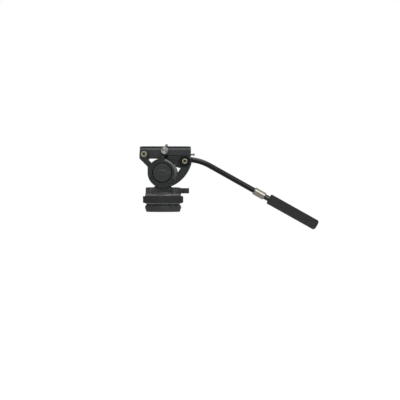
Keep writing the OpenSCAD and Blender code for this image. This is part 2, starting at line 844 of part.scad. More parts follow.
// Plate clamp: dovetail channel with a movable jaw on the left
module clamp_section() {
    polygon([[-clamp_half, clamp_bottom], [clamp_half, clamp_bottom],
        [clamp_half, clamp_top - clamp_bevel], [clamp_half - clamp_bevel, clamp_top],
        [neck_half + gap, clamp_top], [neck_half + gap, neck_z], [foot_half + gap, foot_z0 + foot_h],
        [foot_half + gap, floor_z], [-foot_half - gap, floor_z], [-foot_half - gap, foot_z0 + foot_h],
        [-neck_half - gap, neck_z], [-neck_half - gap, clamp_top],
        [clamp_bevel - clamp_half, clamp_top], [-clamp_half, clamp_top - clamp_bevel]]);
}
module bracket_screw_places() {
    for (x = bracket_screw_x, s = [-1, 1]) translate([x, s * bracket_screw_y, 0]) children();
}
module clamp_body() {
    color("#3d3f40") on_tilt() difference() {
        union() {
            slab_x(-clamp_front, clamp_rear) clamp_section();
            block([-clamp_front, -clamp_half, clamp_bottom - clamp_drop],
                [-post_half, clamp_half, clamp_bottom + cut]);
        }
        block([-far, -relief_half, 0], [relief_x, relief_half, relief_z]);
        block([jaw_x - jaw_half, -jaw_back - jaw_travel, floor_z],
            [jaw_x + jaw_half, -neck_half, jaw_top + gap]);
        translate([lock_x, 0, lock_z]) rod_y(lock_screw_r + run, -far, -neck_half);
        both_sides() at_front() rod_y(front_shank_r + seat, -far, -front_shank_in + seat);
        translate([0, plunger_y, plunger_z]) {
            rod_x(plunger_r + run, plunger_x0 - plunger_travel - cut, far);
            rod_x(spring_bore_r, spring_x0, spring_x1);
            rod_x(button_seat_r, clamp_rear - button_seat_d, far);
        }
        block([plunger_x0 - catch_slot, plunger_y - catch_w / 2 - gap, plunger_z],
            [plunger_x0 + catch_len + gap, plunger_y + catch_w / 2 + gap, far]);
        bracket_screw_places() {
            rod_z(bracket_screw_r + seat, 0, far);
            rod_z(bracket_screw_head_r + slip, floor_z - screw_head_h - slip, far);
        }
        for (s = [-1, 1]) translate([plate_mid + s * pin_half_span, 0, pin_z])
            rod_y(pin_r + seat, -far, -neck_half - gap - cut);
    }
}

module rear_bracket() {
    color("#343637") on_tilt() difference() {
        union() {
            at_rear() rod_y(rear_boss_r, -plate_in, plate_in);
            slab_y(-plate_in, plate_in) polygon([[bracket_front, clamp_bottom],
                [bracket_rear, clamp_bottom], [rear_x + rear_boss_r, rear_z],
                [rear_x, rear_z - rear_boss_r], bracket_heel,
                [bracket_clear * 0.9, bracket_clear * 0.47], [bracket_front, bracket_low]]);
            block([-post_half, -bracket_core_half, bracket_low],
                [bracket_front + cut, bracket_core_half, clamp_bottom]);
        }
        rod_y(bracket_clear, -far, far);
        both_sides() block([-far, -far, clamp_bottom - ledge_h], [far, -ledge_y, far]);
        both_sides() at_rear() rod_y(rear_shank_r + seat, -far, -rear_shank_in + seat);
        bracket_screw_places()
            rod_z(bracket_screw_r + seat, floor_z - screw_head_h - bracket_screw_len, far);
    }
}

module bracket_screws() {
    color("#8c8f91") on_tilt() bracket_screw_places() {
        rod_z(bracket_screw_head_r, floor_z - screw_head_h, floor_z);
        rod_z(bracket_screw_r, floor_z - screw_head_h - bracket_screw_len + slip, floor_z);
    }
}

module tilt_axle() {
    color("#9a9c9d") on_tilt() union() {
        rod_y(axle_r, -axle_left, plate_out);
        rod_y(axle_stud_r, plate_out - cut, axle_stud_end);
    }
}

module tilt_rotor() {
    color("#b08d57") on_tilt() difference() {
        union() {
            rod_y(rotor_sleeve_r, disc_y0, spigot_y - slip);
            for (i = [0:tilt_fins - 1]) {
                rod_y(rotor_r, disc_y0 + tilt_fin_t + tilt_fin_gap + i * tilt_fin_pitch,
                    disc_y0 + 2 * tilt_fin_t + tilt_fin_gap + i * tilt_fin_pitch);
            }
        }
        rod_y(axle_r + seat, -far, far);
    }
}

// Brass inserts that screw the side plates to the clamp and to the bracket
module front_inserts() {
    color("#b9a878") on_tilt() both_sides() at_front() difference() {
        union() {
            rod_y(front_insert_r, -plate_out - 2 * boss_rise, -plate_out - boss_rise + cut);
            rod_y(front_shank_r, -plate_out, -front_shank_in);
        }
        rod_y(acc_r, -far, -plate_out + front_thread_len - 2 * boss_rise);
    }
}

module rear_inserts() {
    color("#b9a878") on_tilt() both_sides() at_rear() difference() {
        union() {
            rod_y(rear_insert_r, -plate_out - rosette_h, -plate_out);
            rod_y(rear_shank_r, -plate_out - cut, -rear_shank_in);
        }
        rod_y(acc_r, -far, -plate_out - rosette_h + rear_thread_len);
    }
}

// Rosette: ring with radial teeth on its outer face
module rosette() {
    at_rear() difference() {
        rod_y(rosette_out, -plate_out - rosette_h, -plate_out);
        rod_y(rosette_in, -far, 0);
        translate([0, -plate_out - rosette_h, 0]) rotate([side_turn, 0, 0]) around(rosette_teeth, 0)
            rotate([side_turn, 0, side_turn]) linear_extrude(height = rosette_out + cut)
            polygon([[-tooth_w / 2, 0], [0, -tooth_d], [tooth_w / 2, 0], [0, tooth_d]]);
    }
}
module rosette_left() {
    color("#262728") on_tilt() rosette();
}

module rosette_right() {
    color("#262728") on_tilt() mirror([0, 1, 0]) rosette();
}

module bevel_pins() {
    color("#8c8f91") on_tilt() for (s = [-1, 1]) translate([plate_mid + s * pin_half_span, 0, pin_z])
        rod_y(pin_r, -clamp_half + clamp_bevel / 2, -clamp_half + clamp_bevel / 2 + pin_depth);
}

module counter_spring() {
    color("#6a6c6d") on_tilt() translate([0, disc_y0 - spring_wire - slip, 0]) rotate([side_turn, 0, 0])
        coil(spring_r, spring_wire, disc_y0 + spigot_y - 2 * spring_wire - 2 * slip, spring_turns);
}

// Tilt lock knob on the right end of the axle
module tilt_lock_knob() {
    color("#2b2c2d") on_tilt() difference() {
        turn_right() polygon(concat([[tilt_bush_r - 2 * cut + seat, tilt_knob_y],
            [tilt_bush_r, tilt_knob_y], [tilt_bush_r, tilt_knob_y + tilt_knob_hub],
            [tilt_knob_r, tilt_knob_y + tilt_knob_hub]],
            arc([tilt_knob_r - 2 * cut, tilt_knob_y + tilt_knob_hub + tilt_knob_h - 2 * cut], 2 * cut, 0,
            side_turn, 5), [[0, tilt_knob_y + tilt_knob_hub + tilt_knob_h], [0, axle_stud_end + gap],
            [tilt_bush_r - 2 * cut + seat, axle_stud_end + gap]]));
        around_y(tilt_knob_lobes, tilt_knob_r + lobe_r - lobe_bite) rod_y(lobe_r, 0, far);
    }
}

module tilt_lock_bush() {
    color("#b08d57") on_tilt() difference() {
        rod_y(tilt_bush_r - 2 * cut, tilt_knob_y, axle_stud_end + gap);
        rod_y(axle_stud_r + run, 0, far);
    }
}

// Camera plate with a lengthwise screw slot
module plate_section() {
    polygon([[-foot_half, foot_z0], [foot_half, foot_z0], [foot_half, foot_z0 + foot_h],
        [neck_half, neck_z], [neck_half, flange_z0], [flange_half, flange_z0], [flange_half, flange_z],
        [-flange_half, flange_z], [-flange_half, flange_z0], [-neck_half, flange_z0],
        [-neck_half, neck_z], [-foot_half, foot_z0 + foot_h]]);
}
module slot(r, z0, z1) {
    translate([plate_mid, 0, 0]) {
        block([-slot_half_len, -r, z0], [slot_half_len, r, z1]);
        for (s = [-1, 1]) translate([s * slot_half_len, 0, 0]) rod_z(r, z0, z1);
    }
}
module camera_plate() {
    color("#333536") on_tilt() difference() {
        slab_x(-clamp_front, clamp_rear) plate_section();
        slot(slot_w, 0, far);
        slot(head_slot_w, 0, head_slot_top);
        block([plunger_x0 - plunger_travel - groove_reach, plunger_y - groove_w / 2, 0],
            [plunger_x0 + catch_len + groove_reach, plunger_y + groove_w / 2, groove_top]);
    }
}

module plate_pads() {
    color("#262626") on_tilt() both_sides() block([-clamp_front + pad_inset, pad_in, flange_z],
        [clamp_rear - pad_inset, flange_half - cut, flange_z + pad_t]);
}

module camera_screw() {
    color("#a8aaab") on_tilt() translate([cam_x, 0, 0]) difference() {
        union() {
            rod_z(cam_head_r, cam_head_z, cam_head_z + cam_head_h);
            rod_z(cam_r - gap, cam_head_z, flange_z + pad_t + cut);
            rod_z(cam_r, flange_z + pad_t, flange_z + pad_t + cam_out);
        }
        block([-far, -cut, 0], [far, cut, cam_head_z + cut]);
    }
}

// Plate lock: turned knob on the left, its screw and the dovetail jaw
module plate_lock_knob() {
    color("#c4c5c3") on_tilt() translate([lock_x, 0, lock_z]) turn_left()
        polygon([[lock_screw_r + seat, clamp_half + gap], [lock_hub_r, clamp_half + gap],
        [lock_hub_r, lock_knob_y], [lock_knob_r - lock_bevel, lock_knob_y],
        [lock_knob_r, lock_knob_y + lock_bevel],
        [lock_knob_r, lock_knob_y + lock_knob_len - lock_bevel],
        [lock_knob_r - lock_bevel, lock_knob_y + lock_knob_len], [0, lock_knob_y + lock_knob_len],
        [0, lock_knob_y + lock_knob_len / 2], [lock_screw_r + seat, lock_knob_y + lock_knob_len / 2]]);
}

module plate_lock_screw() {
    color("#8c8f91") on_tilt() translate([lock_x, 0, lock_z])
        rod_y(lock_screw_r, -lock_knob_y - lock_knob_len / 2, -foot_half - 2 * slip);
}

module plate_jaw() {
    color("#b08d57") on_tilt() difference() {
        slab_x(jaw_x - jaw_half + gap, jaw_x + jaw_half - gap) polygon([[-jaw_back, foot_z0],
            [-foot_half - jaw_fit, foot_z0], [-foot_half - jaw_fit, foot_z0 + foot_h],
            [-neck_half - jaw_fit, neck_z], [-neck_half - jaw_fit, jaw_top], [-jaw_back, jaw_top]]);
        translate([lock_x, 0, lock_z]) rod_y(lock_screw_r + run, -far, 0);
    }
}

// Safety catch: flared button, plunger with a tooth in the plate groove, and its spring
module safety_button() {
    color("#9fa1a1") on_tilt() translate([0, plunger_y, plunger_z]) turn_rear()
        polygon([[0, button_x1 - cut], [plunger_r + seat, button_x1 - cut],
        [plunger_r + seat, button_x0], [button_neck_r, button_x0], [button_waist_r, button_waist_x],
        [button_r - cut / 2, button_x1 - 2 * cut], [button_r, button_x1 - cut],
        [button_r - cut / 2, button_x1], [0, button_x1]]);
}

module safety_plunger() {
    color("#8c8f91") on_tilt() translate([0, plunger_y, plunger_z]) union() {
        rod_x(plunger_r, plunger_x0, button_x1 - cut);
        rod_x(spring_bore_r - slip, spring_x1 - stop_t - slip, spring_x1 - slip);
        block([plunger_x0, -catch_w / 2, 0],
            [plunger_x0 + catch_len, catch_w / 2, catch_top - plunger_z]);
    }
}

module safety_spring() {
    color("#6a6c6d") on_tilt() translate([spring_x0 + safety_wire + slip, plunger_y, plunger_z])
        rotate([0, side_turn, 0])
        coil(plunger_r + cut / 2, safety_wire,
        spring_x1 - spring_x0 - stop_t - 2 * safety_wire - 3 * slip, safety_turns);
}

// Handle: eye on the right rosette, bent tube, twist collar and sliding grip
module bend(a0, a1) {
    translate([bend_c[0], handle_y, bend_c[1]]) rotate([side_turn, 0, 0]) rotate([0, 0, side_turn - a1])
        rotate_extrude(angle = a1 - a0) translate([bend_r, 0]) children();
}
module along_grip() {
    translate([bend_end[0], handle_y, bend_end[1]]) rotate([0, side_turn + grip_angle, 0]) children();
}
module handle_eye() {
    color("#303233") on_tilt() difference() {
        union() {
            at_rear() rod_y(eye_r, eye_in, eye_out);
            translate([lead_at[0], handle_y, lead_at[1]]) rotate([0, side_turn + lead_angle, 0])
                rod_z(tube_r, -shoulder_len, 0);
            bend(lead_angle - lap_turn, lead_angle + neck_turn) circle(r = tube_r - bend_thin);
            bend(lead_angle, lead_angle + neck_turn + spigot_turn) circle(r = inner_r - slip);
        }
        at_rear() rod_y(eye_screw_r + run, 0, far);
    }
}

module handle_tube() {
    color("#232425") on_tilt() union() {
        bend(lead_angle + neck_turn, grip_angle) difference() {
            circle(r = tube_r - bend_thin);
            circle(r = tube_bore_r + bend_thin);
        }
        along_grip() rotate_extrude() polygon([[tube_bore_r, -cut], [tube_r, -cut], [tube_r, tube_end],
            [tube_bore_r, tube_end]]);
    }
}

module handle_lock_knob() {
    color("#2b2c2d") on_tilt() at_rear() difference() {
        turn_right() polygon(concat([[eye_screw_r + seat, eye_out + slip],
            [hand_knob_r - 3 * cut, eye_out + slip], [hand_knob_r - 3 * cut, eye_out + hand_knob_hub],
            [hand_knob_r, eye_out + hand_knob_hub]],
            arc([hand_knob_r - 2 * cut, eye_out + hand_knob_h - 2 * cut], 2 * cut, 0, side_turn, 5),
            [[0, eye_out + hand_knob_h], [0, eye_out + hand_knob_h / 2],
            [eye_screw_r + seat, eye_out + hand_knob_h / 2]]));
        around_y(hand_knob_lobes, hand_knob_r + 2 * cut) rod_y(4 * cut, eye_out + hand_knob_hub, far);
    }
}

module handle_lock_screw() {
    color("#8c8f91") on_tilt() at_rear()
        rod_y(eye_screw_r, plate_out - rear_thread_len / 2, eye_out + hand_knob_h / 2);
}

module lock_collar() {
    color("#c9c6bd") on_tilt() along_grip() rotate_extrude() polygon([[tube_r + run, collar_u0],
        [collar_r - collar_bevel, collar_u0], [collar_r, collar_u0 + collar_bevel],
        [collar_r, collar_u1 - collar_bevel], [collar_r - collar_bevel, collar_u1],
        [inner_r + 2 * run, collar_u1], [inner_r + 2 * run, collet_end], [tube_r + run, collet_end]]);
}

module collar_collet() {
    color("#d8d4c8") on_tilt() along_grip() difference() {
        rod_z(tube_r + run - seat, tube_end + slip, collet_end);
        rod_z(tube_bore_r, 0, far * 2);
    }
}

module inner_tube() {
    color("#9a9c9d") on_tilt() along_grip() difference() {
        rod_z(inner_r, inner_u0, cap_u0 - slip);
        rod_z(inner_r - inner_wall, 0, far * 4);
    }
}

module grip_ferrule() {
    color("#1f2021") on_tilt() along_grip() difference() {
        rod_z(ferrule_r, ferrule_u0, grip_u0);
        rod_z(inner_r + seat, 0, far * 4);
    }
}

module grip() {
    color("#2c2c2c") on_tilt() along_grip() rotate_extrude() polygon(concat([[inner_r + seat, grip_u0]],
        arc([grip_r - grip_soft, grip_u0 + grip_soft], grip_soft, -side_turn, 0),
        [[grip_r, cap_u0], [inner_r + seat, cap_u0]]));
}

module grip_cap() {
    color("#2c2c2c") on_tilt() along_grip() rotate_extrude() polygon(concat([[0, cap_u0],
        [grip_r, cap_u0]], arc([grip_r - cap_soft, grip_u1 - cap_soft], cap_soft, 0, side_turn, 7),
        [[0, grip_u1]]));
}

base_ring();
thread_insert();
base_screws();
pan_spindle();
pan_stator();
spindle_washer();
spindle_nut();
drag_ring();
drag_band();
pan_housing();
pan_bush();
pan_rotor();
level_cup();
level_vial();
cap_left();
dial_bezel();
cap_right();
cap_screws();
tilt_bushes();
tilt_stator();
pan_lock_knob();
pan_lock_screw();
pan_brake_shoe();
drag_dial();
dial_stem();
side_plate_left();
side_plate_right();
clamp_body();
rear_bracket();
bracket_screws();
tilt_axle();
tilt_rotor();
front_inserts();
rear_inserts();
rosette_left();
rosette_right();
bevel_pins();
counter_spring();
tilt_lock_knob();
tilt_lock_bush();
camera_plate();
plate_pads();
camera_screw();
plate_lock_knob();
plate_lock_screw();
plate_jaw();
safety_button();
safety_plunger();
safety_spring();
handle_eye();
handle_tube();
handle_lock_knob();
handle_lock_screw();
lock_collar();
collar_collet();
inner_tube();
grip_ferrule();
grip();
grip_cap();
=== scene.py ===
"""Fluid video head: rounded castings, cut threads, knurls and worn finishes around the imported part."""
import json
import math

import bmesh
import bpy
from mathutils import Matrix, Vector


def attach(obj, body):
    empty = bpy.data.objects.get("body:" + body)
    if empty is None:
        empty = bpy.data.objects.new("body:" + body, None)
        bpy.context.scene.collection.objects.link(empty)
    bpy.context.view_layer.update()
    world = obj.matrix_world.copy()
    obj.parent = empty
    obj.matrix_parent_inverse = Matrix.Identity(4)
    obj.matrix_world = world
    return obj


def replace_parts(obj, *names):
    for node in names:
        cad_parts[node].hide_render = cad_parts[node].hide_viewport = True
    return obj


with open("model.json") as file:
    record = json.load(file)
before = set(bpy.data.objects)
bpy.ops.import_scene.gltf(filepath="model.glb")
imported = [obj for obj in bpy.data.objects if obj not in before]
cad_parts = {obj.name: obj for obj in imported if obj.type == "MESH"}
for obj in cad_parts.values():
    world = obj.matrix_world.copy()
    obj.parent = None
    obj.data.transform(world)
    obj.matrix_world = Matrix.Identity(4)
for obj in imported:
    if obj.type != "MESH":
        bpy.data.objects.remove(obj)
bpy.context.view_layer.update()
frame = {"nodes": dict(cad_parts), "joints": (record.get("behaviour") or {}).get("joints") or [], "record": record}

MM = 0.001
record = frame["record"]
scene = bpy.context.scene
joints = {j["name"]: j for j in frame["joints"]}
mounts = {m["name"]: m for m in record["mounts"]}
slot_of = {s["node"]: s["material_slot"] for s in record["subparts"]}
body_of = {n: b for b, members in record["behaviour"]["bodies"].items() for n in members}

TILT_AXIS = Vector(joints["tilt"]["pos_m"])
GRIP_AXIS = Vector(joints["collar_turn"]["axis"]).normalized()
GRIP_POINT = Vector(joints["collar_turn"]["pos_m"])
LOCK_AXIS = Vector(joints["plate_lock_turn"]["pos_m"])


# Node trees

def linear(code):
    """Linear colour of an sRGB hex value."""
    parts = [int(code[i:i + 2], 16) / 255 for i in (1, 3, 5)]
    return [p / 12.92 if p <= 0.04045 else ((p + 0.055) / 1.055) ** 2.4 for p in parts] + [1.0]


def add(tree, kind, inputs=None, **settings):
    """Adds a node: settings are its own, and each input is a value or the socket that feeds it."""
    made = tree.nodes.new(kind)
    for name, value in settings.items():
        setattr(made, name, value)
    for name, value in (inputs or {}).items():
        if isinstance(value, bpy.types.NodeSocket):
            tree.links.new(value, made.inputs[name])
        else:
            made.inputs[name].default_value = value
    return made


def per_metre(size_mm):
    """Texture scale that gives a pattern of that size in millimetres."""
    return 1000 / size_mm


BUMP_DEPTH = 0.3 * MM
RING_MM = 0.7
NOISE_LOW = 0.3
NOISE_HIGH = 0.7
QUARTER_TURN = 0.25
GLOSS_SPREAD = 0.08
WEAR_BAND = 0.24
COAT_ROUGH = 0.12
# Black painted inside a turned bore: painted shade
BORE_PAINTED_SHADE = "#0b0b0c"


def finish(name, base, light, rough, metallic=0.0, grain_mm=0.8, grain=0.1, cloud_mm=9.0, stretch=(1, 1, 1),
           turned=None, wear_and_sheen="#6d6e6d", wear_and_sheen_amount=0.0, wear_and_sheen_from=0.38, coat=0.0, specular=0.5,
           anisotropic=0.0, painted_shade_bore_mm=0.0):
    """A surface of two near tones that drift over a few millimetres, with grain and paler rubbed edges; on the
    dial the pale edges are partly a painted highlight.

    turned is (point, axis) of a lathe: the grain then lies in rings about it. Inside the bore
    a turned surface is painted black: painted shade.
    """
    material = bpy.data.materials.new(name)
    material.use_nodes = True
    tree = material.node_tree
    tree.nodes.clear()
    place = add(tree, "ShaderNodeTexCoord").outputs["Object"]
    along = add(tree, "ShaderNodeMapping", {"Vector": place, "Scale": stretch}).outputs[0]
    cloud = add(tree, "ShaderNodeTexNoise", {"Vector": along, "Scale": per_metre(cloud_mm), "Detail": 3.0,
                                             "Roughness": 0.6}).outputs[0]
    fine = add(tree, "ShaderNodeTexNoise", {"Vector": along, "Scale": per_metre(grain_mm), "Detail": 2.0,
                                            "Roughness": 0.55}).outputs[0]
    height = fine
    tangent = None
    if turned:
        point, axis = turned
        arm = add(tree, "ShaderNodeVectorMath", {0: place, 1: point}, operation="SUBTRACT").outputs[0]
        tangent = add(tree, "ShaderNodeVectorMath", {0: axis, 1: arm}, operation="CROSS_PRODUCT").outputs[0]
        reach = add(tree, "ShaderNodeVectorMath", {0: tangent}, operation="LENGTH").outputs["Value"]
        run = add(tree, "ShaderNodeVectorMath", {0: axis, 1: arm}, operation="DOT_PRODUCT").outputs["Value"]
        ring = add(tree, "ShaderNodeCombineXYZ", {0: reach, 1: run}).outputs[0]
        height = add(tree, "ShaderNodeTexNoise", {"Vector": ring, "Scale": per_metre(RING_MM), "Detail": 2.0,
                                                  "Roughness": 0.7}).outputs[0]
    tone = add(tree, "ShaderNodeMapRange", {0: cloud, 1: NOISE_LOW, 2: NOISE_HIGH}).outputs[0]
    colour = add(tree, "ShaderNodeMix", {0: tone, 6: linear(base), 7: linear(light)},
                 data_type="RGBA").outputs[2]
    rub = add(tree, "ShaderNodeAttribute", attribute_name="edge").outputs["Fac"]
    # Paler rubbed edges: wear, and on the dial also a painted highlight
    patch = add(tree, "ShaderNodeMapRange", {0: cloud, 1: wear_and_sheen_from, 2: wear_and_sheen_from + WEAR_BAND,
                                             3: 0.0, 4: wear_and_sheen_amount}).outputs[0]
    worn_and_sheen = add(tree, "ShaderNodeMath", {0: rub, 1: patch}, operation="MULTIPLY").outputs[0]
    colour = add(tree, "ShaderNodeMix", {0: worn_and_sheen, 6: colour, 7: linear(wear_and_sheen)}, data_type="RGBA").outputs[2]
    # Painted shade: inside the bore a turned surface is black
    if painted_shade_bore_mm:
        clear_of_painted_shade = add(tree, "ShaderNodeMath", {0: reach, 1: painted_shade_bore_mm * MM},
                      operation="GREATER_THAN").outputs[0]
        colour = add(tree, "ShaderNodeMix", {0: clear_of_painted_shade, 6: linear(BORE_PAINTED_SHADE), 7: colour},
                     data_type="RGBA").outputs[2]
    gloss = add(tree, "ShaderNodeMapRange", {0: height, 1: NOISE_LOW, 2: NOISE_HIGH, 3: rough - GLOSS_SPREAD,
                                             4: rough + GLOSS_SPREAD}).outputs[0]
    bump = add(tree, "ShaderNodeBump", {"Height": height, "Strength": grain,
                                        "Distance": BUMP_DEPTH}).outputs[0]
    sockets = {"Base Color": colour, "Roughness": gloss, "Normal": bump, "Metallic": metallic,
               "Coat Weight": coat, "Coat Roughness": COAT_ROUGH, "Specular IOR Level": specular,
               "Anisotropic": anisotropic}
    if tangent and anisotropic:
        sockets["Tangent"] = tangent
        sockets["Anisotropic Rotation"] = QUARTER_TURN
    shader = add(tree, "ShaderNodeBsdfPrincipled", sockets)
    add(tree, "ShaderNodeOutputMaterial", {"Surface": shader.outputs[0]})
    return material


# Materials

UP = Vector((0, 0, 1))
ACROSS = Vector((0, 1, 0))

# Die-cast aluminium under a matt black powder coat: dull grey-black with a fine pebble, paler on rubbed edges
cast_coat = finish("powder_coated_cast_aluminium", "#2a2c2d", "#313334", 0.5, grain_mm=1.2, grain=0.22,
                   cloud_mm=14, wear_and_sheen="#6c6e6f", wear_and_sheen_amount=0.45, specular=0.4)
# The same coat on the pan housing, painted a slightly paler grey: painted light on its broad deck
painted_light_housing_coat = finish("powder_coated_pan_housing_painted_light", "#313334", "#393b3c", 0.46, grain_mm=1.2, grain=0.2,
                      cloud_mm=14, wear_and_sheen="#77797a", wear_and_sheen_amount=0.45)
# The same coat on the side plates, bracket and bezel, painted darker and a little duller: painted shade
painted_shade_plate_coat = finish("powder_coated_side_plate_painted_shade", "#1d1e1f", "#232526", 0.55, grain_mm=1.2, grain=0.22,
                    cloud_mm=12, wear_and_sheen="#606263", wear_and_sheen_amount=0.35, specular=0.35)
# Extruded aluminium, black anodised: satin, with faint draw lines along its length
anodised = finish("black_anodised_aluminium", "#252728", "#2c2e2f", 0.4, grain_mm=0.9, grain=0.12,
                  cloud_mm=11, stretch=(0.04, 1, 1), wear_and_sheen="#85878a", wear_and_sheen_amount=0.6, specular=0.45)
# Turned aluminium, dull grey: rings from the lathe tool, drawn coarser than real so that they show.
# The seat of the dial is painted black as painted shade, so the groove around the dial reads as a dark line
drum_metal = finish("grey_turned_aluminium_drum", "#77797b", "#85878a", 0.42, metallic=0.5, grain=0.08,
                    turned=(TILT_AXIS, ACROSS), wear_and_sheen="#a0a2a4", wear_and_sheen_amount=0.3, painted_shade_bore_mm=22.6)
# The bare lips of the drag ring: the same turned grey, brighter and a little glossier
ring_metal = finish("grey_turned_aluminium_ring", "#8a8c8d", "#9b9d9e", 0.38, metallic=0.7, grain=0.1,
                    turned=(Vector(), UP), wear_and_sheen="#c0c2c3", wear_and_sheen_amount=0.4)
# Moulded rubber: dull, faintly dusty black
band_rubber = finish("moulded_black_rubber", "#222221", "#292928", 0.78, grain_mm=1.0, grain=0.18, cloud_mm=7,
                     specular=0.3, wear_and_sheen="#4a4a48", wear_and_sheen_amount=0.5)
# Closed-cell foam rubber: matt, with pores that are drawn coarser than real so that they show
grip_foam = finish("black_foam_rubber", "#252525", "#2e2e2e", 0.85, grain_mm=1.3, grain=0.45, cloud_mm=5,
                   specular=0.25)
# Machined steel: bright grey with soft tool marks
steel = finish("machined_steel", "#8c8e90", "#a0a2a4", 0.32, metallic=1.0, grain_mm=0.7, grain=0.08,
               cloud_mm=6)
# Chromed steel tube: near mirror, very slightly uneven
chrome = finish("polished_steel_tube", "#a9abad", "#b8babc", 0.16, metallic=1.0, grain_mm=0.6, grain=0.03,
                cloud_mm=12)
# Satin brass gone a little olive: soft yellow-grey with duller patches
brass = finish("aged_satin_brass", "#938e78", "#a5a08a", 0.36, metallic=0.75, grain_mm=0.6, grain=0.08,
               cloud_mm=4, wear_and_sheen="#c9c4a4", wear_and_sheen_amount=0.5)
# Glass-filled nylon, moulded: dark grey-black with a fine spark-eroded grain
moulded = finish("moulded_black_nylon", "#262829", "#2d2f30", 0.46, grain_mm=0.9, grain=0.2, cloud_mm=12,
                 wear_and_sheen="#55575a", wear_and_sheen_amount=0.45, specular=0.45)
# The dial's nylon: pale rim and finger bar, partly wear and partly a painted highlight where the bar catches the
# top light
dial_nylon_painted_highlight = finish("moulded_black_nylon_dial_painted_highlight", "#232526", "#2a2c2d", 0.36, grain_mm=0.9, grain=0.1,
                    cloud_mm=12, wear_and_sheen="#6f7173", wear_and_sheen_amount=0.4, wear_and_sheen_from=0.1)
# Blackened steel: almost black, slightly oily
blackened = finish("blackened_steel", "#1c1d1e", "#26282a", 0.4, metallic=0.5, cloud_mm=5, wear_and_sheen="#5c5e60",
                   wear_and_sheen_amount=0.5)
# Turned aluminium, plain: a bright sheen across the lathe rings
knob_metal = finish("turned_aluminium_knob", "#acaca8", "#b8b8b4", 0.42, metallic=1.0, grain=0.02,
                    turned=(LOCK_AXIS, ACROSS), wear_and_sheen="#dadad6", wear_and_sheen_amount=0.3, anisotropic=0.9)
# Satin aluminium of the twist collar: warm grey with one soft streak along its length
collar_metal = finish("satin_aluminium_collar", "#b9b6aa", "#c4c1b5", 0.3, metallic=0.95, grain=0.04,
                      turned=(GRIP_POINT, GRIP_AXIS), wear_and_sheen="#e2dfd4", wear_and_sheen_amount=0.4)
# Dark polished steel of the ferrule: black to the sides of one hard streak
ferrule_steel = finish("dark_polished_steel", "#525355", "#5c5e60", 0.22, metallic=1.0, grain_mm=0.7,
                       grain=0.03, cloud_mm=6)
# The small safety button: pale bead-blasted aluminium, even and dull
button_metal = finish("bead_blasted_aluminium_button", "#9b9c9a", "#a8a9a7", 0.4, metallic=0.85, grain_mm=0.6,
                      grain=0.06, cloud_mm=3, wear_and_sheen="#dcdcda", wear_and_sheen_amount=0.4)
# Stoved gloss enamel on aluminium tube: deep black with one narrow hard reflection
enamel = finish("gloss_black_enamel", "#0a0b0c", "#0e0f10", 0.2, grain_mm=3.5, grain=0.03, cloud_mm=18,
                wear_and_sheen="#4a4c4e", wear_and_sheen_amount=0.3)
# Acetal, natural: waxy off-white
acetal = finish("natural_acetal", "#d3cdbd", "#ddd8ca", 0.5, grain_mm=1.0, grain=0.05)
# Spirit level glass: bright yellow-green under a glossy coat
level_glass = finish("spirit_level_glass", "#a9bd3a", "#b6c94a", 0.12, grain_mm=2.5, grain=0.02,
                     cloud_mm=6, coat=0.8)

finish_of = {"cast_black": cast_coat, "anodised_black": anodised, "satin_metal": drum_metal,
             "rubber_black": band_rubber, "steel": steel, "brass": brass, "plastic_black": moulded,
             "blackened_steel": blackened, "turned_aluminium": knob_metal, "gloss_black": enamel,
             "vial": level_glass, "nylon": acetal}
own_finish = {"side_plate_left": painted_shade_plate_coat, "side_plate_right": painted_shade_plate_coat, "rear_bracket": painted_shade_plate_coat,
              "handle_eye": painted_shade_plate_coat, "dial_bezel": painted_shade_plate_coat, "pan_housing": painted_light_housing_coat,
              "drag_ring": ring_metal, "drag_dial": dial_nylon_painted_highlight, "safety_button": button_metal,
              "lock_collar": collar_metal, "inner_tube": chrome, "grip_ferrule": ferrule_steel,
              "grip": grip_foam, "grip_cap": grip_foam}


def finish_for(node):
    """Finish of a node: its own, or else that of its slot."""
    return own_finish.get(node, finish_of[slot_of[node]])


for node, item in frame["nodes"].items():
    item.data.materials.clear()
    item.data.materials.append(finish_for(node))


# Rounded edges on the castings and machined pieces

# Points closer than MERGE are one. Up to FLAT two faces are one, above CRISP their edge is rounded, and from
# SQUARE on an edge is shaded as a corner
MERGE = 0.05 * MM
FLAT = math.radians(0.4)
CRISP = math.radians(29)
SQUARE = math.radians(40)
SEGMENTS = 2
# A face has room when no edge alongside lies closer than ROOM widths. BESIDE is the share of both lengths
# within which two edges lie side by side, and ALIKE the share of its length that an edge has to run along
ROOM = 2.3
BESIDE = 0.45
ALIKE = 0.5


def piece_from(bm, name, node, material):
    """Makes the built mesh a piece that rides with the body of a node, with the given finish."""
    mesh = bpy.data.meshes.new(name)
    bm.to_mesh(mesh)
    bm.free()
    mesh.materials.append(material)
    piece = bpy.data.objects.new(name, mesh)
    scene.collection.objects.link(piece)
    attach(piece, body_of[node])
    return piece


def merged(node):
    """Closed mesh of a CAD node, its flat faces made whole."""
    bm = bmesh.new()
    bm.from_mesh(frame["nodes"][node].data)
    bmesh.ops.remove_doubles(bm, verts=bm.verts, dist=MERGE)
    bmesh.ops.dissolve_degenerate(bm, dist=MERGE / 2, edges=bm.edges)
    bmesh.ops.dissolve_limit(bm, angle_limit=FLAT, verts=bm.verts, edges=bm.edges)
    return bm


